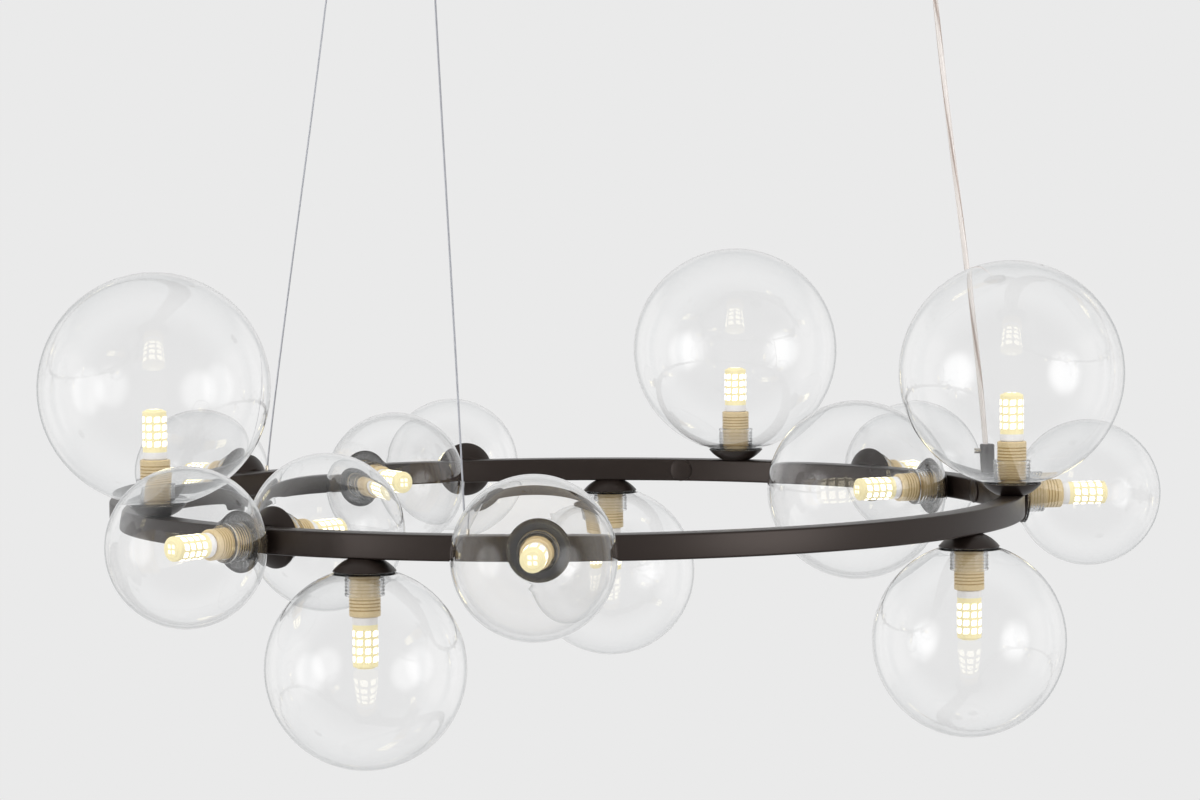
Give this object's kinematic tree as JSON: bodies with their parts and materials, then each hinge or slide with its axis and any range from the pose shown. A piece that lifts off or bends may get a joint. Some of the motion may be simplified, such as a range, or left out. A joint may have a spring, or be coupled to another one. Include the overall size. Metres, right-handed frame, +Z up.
{
  "type": "orb chandelier",
  "caption": "Round chandelier: a square-tube ring on two steel wires and its power cord, with clear glass globes over two-pin lamps facing up, down, in and out.",
  "frame": {"origin": "in the ceiling plane, at the centre of the circle through the three hanging points; the ring hangs 420 mm below", "axes": "+Z up out of the ceiling face; -Y towards the picture's viewer and +X to its right"},
  "size_m": [0.7489, 0.8151, 0.5588],
  "materials": {
    "satin_charcoal": "satin dark charcoal powder coat",
    "nickel": "bright nickel plate",
    "zinc_steel": "zinc-plated steel",
    "brown_pvc": "brown wire insulation",
    "blue_pvc": "blue wire insulation",
    "clear_plastic": "clear soft plastic",
    "beige_plastic": "glossy warm beige moulding",
    "brass": "plain brass",
    "steel_wire": "twisted stainless steel wire",
    "clear_cord": "clear sheath over a steel core and two cores",
    "black_plastic": "matt black moulding",
    "white_plastic": "white moulding",
    "clear_glass": "clear blown glass",
    "lamp_body": "white moulding with warm yellow light chips"
  },
  "bodies": {
    "fixture": {"ring_tube": "satin_charcoal", "ring_bosses": "nickel", "access_caps": "satin_charcoal", "live_lead": "brown_pvc", "neutral_lead": "blue_pvc", "lamp_cups": "satin_charcoal", "lamp_nipples": "zinc_steel", "cup_nuts": "zinc_steel", "globe_washers": "clear_plastic", "lampholders": "beige_plastic", "lamp_contacts": "brass", "wire_left": "steel_wire", "wire_front": "steel_wire", "wire_ferrules": "nickel", "wire_stops": "zinc_steel", "power_cord": "clear_cord", "cord_grip": "black_plastic", "anchor_bases": "nickel", "wire_clamps": "nickel", "rose_strap": "zinc_steel", "rose_cover": "satin_charcoal", "rose_screws": "nickel", "terminal_block": "white_plastic", "rose_gland": "black_plastic"},
    "globe_01": {"globe_01": "clear_glass"},
    "lamp_01": {"lamp_01": "lamp_body"},
    "globe_02": {"globe_02": "clear_glass"},
    "lamp_02": {"lamp_02": "lamp_body"},
    "globe_03": {"globe_03": "clear_glass"},
    "lamp_03": {"lamp_03": "lamp_body"},
    "globe_04": {"globe_04": "clear_glass"},
    "lamp_04": {"lamp_04": "lamp_body"},
    "globe_05": {"globe_05": "clear_glass"},
    "lamp_05": {"lamp_05": "lamp_body"},
    "globe_06": {"globe_06": "clear_glass"},
    "lamp_06": {"lamp_06": "lamp_body"},
    "globe_07": {"globe_07": "clear_glass"},
    "lamp_07": {"lamp_07": "lamp_body"},
    "globe_08": {"globe_08": "clear_glass"},
    "lamp_08": {"lamp_08": "lamp_body"},
    "globe_09": {"globe_09": "clear_glass"},
    "lamp_09": {"lamp_09": "lamp_body"},
    "globe_10": {"globe_10": "clear_glass"},
    "lamp_10": {"lamp_10": "lamp_body"},
    "globe_11": {"globe_11": "clear_glass"},
    "lamp_11": {"lamp_11": "lamp_body"},
    "globe_12": {"globe_12": "clear_glass"},
    "lamp_12": {"lamp_12": "lamp_body"},
    "globe_13": {"globe_13": "clear_glass"},
    "lamp_13": {"lamp_13": "lamp_body"},
    "globe_14": {"globe_14": "clear_glass"},
    "lamp_14": {"lamp_14": "lamp_body"},
    "globe_15": {"globe_15": "clear_glass"},
    "lamp_15": {"lamp_15": "lamp_body"},
    "grip_screw": {"grip_screw": "nickel"},
    "clamp_screw_left": {"clamp_screw_left": "nickel"},
    "clamp_screw_front": {"clamp_screw_front": "nickel"}
  },
  "joints": [
    {"name": "globe_01_off", "type": "slide", "parent": "fixture", "child": "globe_01", "axis": [0, 0, 1], "range_m": [0, 0.015]},
    {"name": "lamp_01_pull", "type": "slide", "parent": "fixture", "child": "lamp_01", "axis": [0, 0, 1], "range_m": [0, 0.01]},
    {"name": "globe_02_off", "type": "slide", "parent": "fixture", "child": "globe_02", "axis": [-0.6428, -0.766, 0], "range_m": [0, 0.015]},
    {"name": "lamp_02_pull", "type": "slide", "parent": "fixture", "child": "lamp_02", "axis": [-0.6428, -0.766, 0], "range_m": [0, 0.01]},
    {"name": "globe_03_off", "type": "slide", "parent": "fixture", "child": "globe_03", "axis": [0.6468, 0.7627, 0], "range_m": [0, 0.015]},
    {"name": "lamp_03_pull", "type": "slide", "parent": "fixture", "child": "lamp_03", "axis": [0.6468, 0.7627, 0], "range_m": [0, 0.01]},
    {"name": "globe_04_off", "type": "slide", "parent": "fixture", "child": "globe_04", "axis": [0.5255, -0.8508, 0], "range_m": [0, 0.015]},
    {"name": "lamp_04_pull", "type": "slide", "parent": "fixture", "child": "lamp_04", "axis": [0.5255, -0.8508, 0], "range_m": [0, 0.01]},
    {"name": "globe_05_off", "type": "slide", "parent": "fixture", "child": "globe_05", "axis": [-0.2402, 0.9707, 0], "range_m": [0, 0.015]},
    {"name": "lamp_05_pull", "type": "slide", "parent": "fixture", "child": "lamp_05", "axis": [-0.2402, 0.9707, 0], "range_m": [0, 0.01]},
    {"name": "globe_06_off", "type": "slide", "parent": "fixture", "child": "globe_06", "axis": [-0.0558, -0.9984, 0], "range_m": [0, 0.015]},
    {"name": "lamp_06_pull", "type": "slide", "parent": "fixture", "child": "lamp_06", "axis": [-0.0558, -0.9984, 0], "range_m": [0, 0.01]},
    {"name": "globe_07_off", "type": "slide", "parent": "fixture", "child": "globe_07", "axis": [0, 0, -1], "range_m": [0, 0.015]},
    {"name": "lamp_07_pull", "type": "slide", "parent": "fixture", "child": "lamp_07", "axis": [0, 0, -1], "range_m": [0, 0.01]},
    {"name": "globe_08_off", "type": "slide", "parent": "fixture", "child": "globe_08", "axis": [0, 0, -1], "range_m": [0, 0.015]},
    {"name": "lamp_08_pull", "type": "slide", "parent": "fixture", "child": "lamp_08", "axis": [0, 0, -1], "range_m": [0, 0.01]},
    {"name": "globe_09_off", "type": "slide", "parent": "fixture", "child": "globe_09", "axis": [0, 0, 1], "range_m": [0, 0.015]},
    {"name": "lamp_09_pull", "type": "slide", "parent": "fixture", "child": "lamp_09", "axis": [0, 0, 1], "range_m": [0, 0.01]},
    {"name": "globe_10_off", "type": "slide", "parent": "fixture", "child": "globe_10", "axis": [-0.9048, -0.4258, 0], "range_m": [0, 0.015]},
    {"name": "lamp_10_pull", "type": "slide", "parent": "fixture", "child": "lamp_10", "axis": [-0.9048, -0.4258, 0], "range_m": [0, 0.01]},
    {"name": "globe_11_off", "type": "slide", "parent": "fixture", "child": "globe_11", "axis": [0.6997, 0.7145, 0], "range_m": [0, 0.015]},
    {"name": "lamp_11_pull", "type": "slide", "parent": "fixture", "child": "lamp_11", "axis": [0.6997, 0.7145, 0], "range_m": [0, 0.01]},
    {"name": "globe_12_off", "type": "slide", "parent": "fixture", "child": "globe_12", "axis": [0, 0, 1], "range_m": [0, 0.015]},
    {"name": "lamp_12_pull", "type": "slide", "parent": "fixture", "child": "lamp_12", "axis": [0, 0, 1], "range_m": [0, 0.01]},
    {"name": "globe_13_off", "type": "slide", "parent": "fixture", "child": "globe_13", "axis": [0.9885, 0.1513, 0], "range_m": [0, 0.015]},
    {"name": "lamp_13_pull", "type": "slide", "parent": "fixture", "child": "lamp_13", "axis": [0.9885, 0.1513, 0], "range_m": [0, 0.01]},
    {"name": "globe_14_off", "type": "slide", "parent": "fixture", "child": "globe_14", "axis": [0, 0, -1], "range_m": [0, 0.015]},
    {"name": "lamp_14_pull", "type": "slide", "parent": "fixture", "child": "lamp_14", "axis": [0, 0, -1], "range_m": [0, 0.01]},
    {"name": "globe_15_off", "type": "slide", "parent": "fixture", "child": "globe_15", "axis": [-0.7373, 0.6756, 0], "range_m": [0, 0.015]},
    {"name": "lamp_15_pull", "type": "slide", "parent": "fixture", "child": "lamp_15", "axis": [-0.7373, 0.6756, 0], "range_m": [0, 0.01]},
    {"name": "grip_screw_turn", "type": "hinge", "parent": "fixture", "child": "grip_screw", "pos_m": [0.28899, 0.07258, -0.393], "axis": [-1, 0, 0], "range_deg": [0, 540]},
    {"name": "clamp_screw_left_turn", "type": "hinge", "parent": "fixture", "child": "clamp_screw_left", "pos_m": [-0.16505, 0.19162, -0.02], "axis": [-1, 0, 0], "range_deg": [0, 540]},
    {"name": "clamp_screw_front_turn", "type": "hinge", "parent": "fixture", "child": "clamp_screw_front", "pos_m": [-0.08342, -0.23875, -0.02], "axis": [-1, 0, 0], "range_deg": [0, 540]}
  ]
}
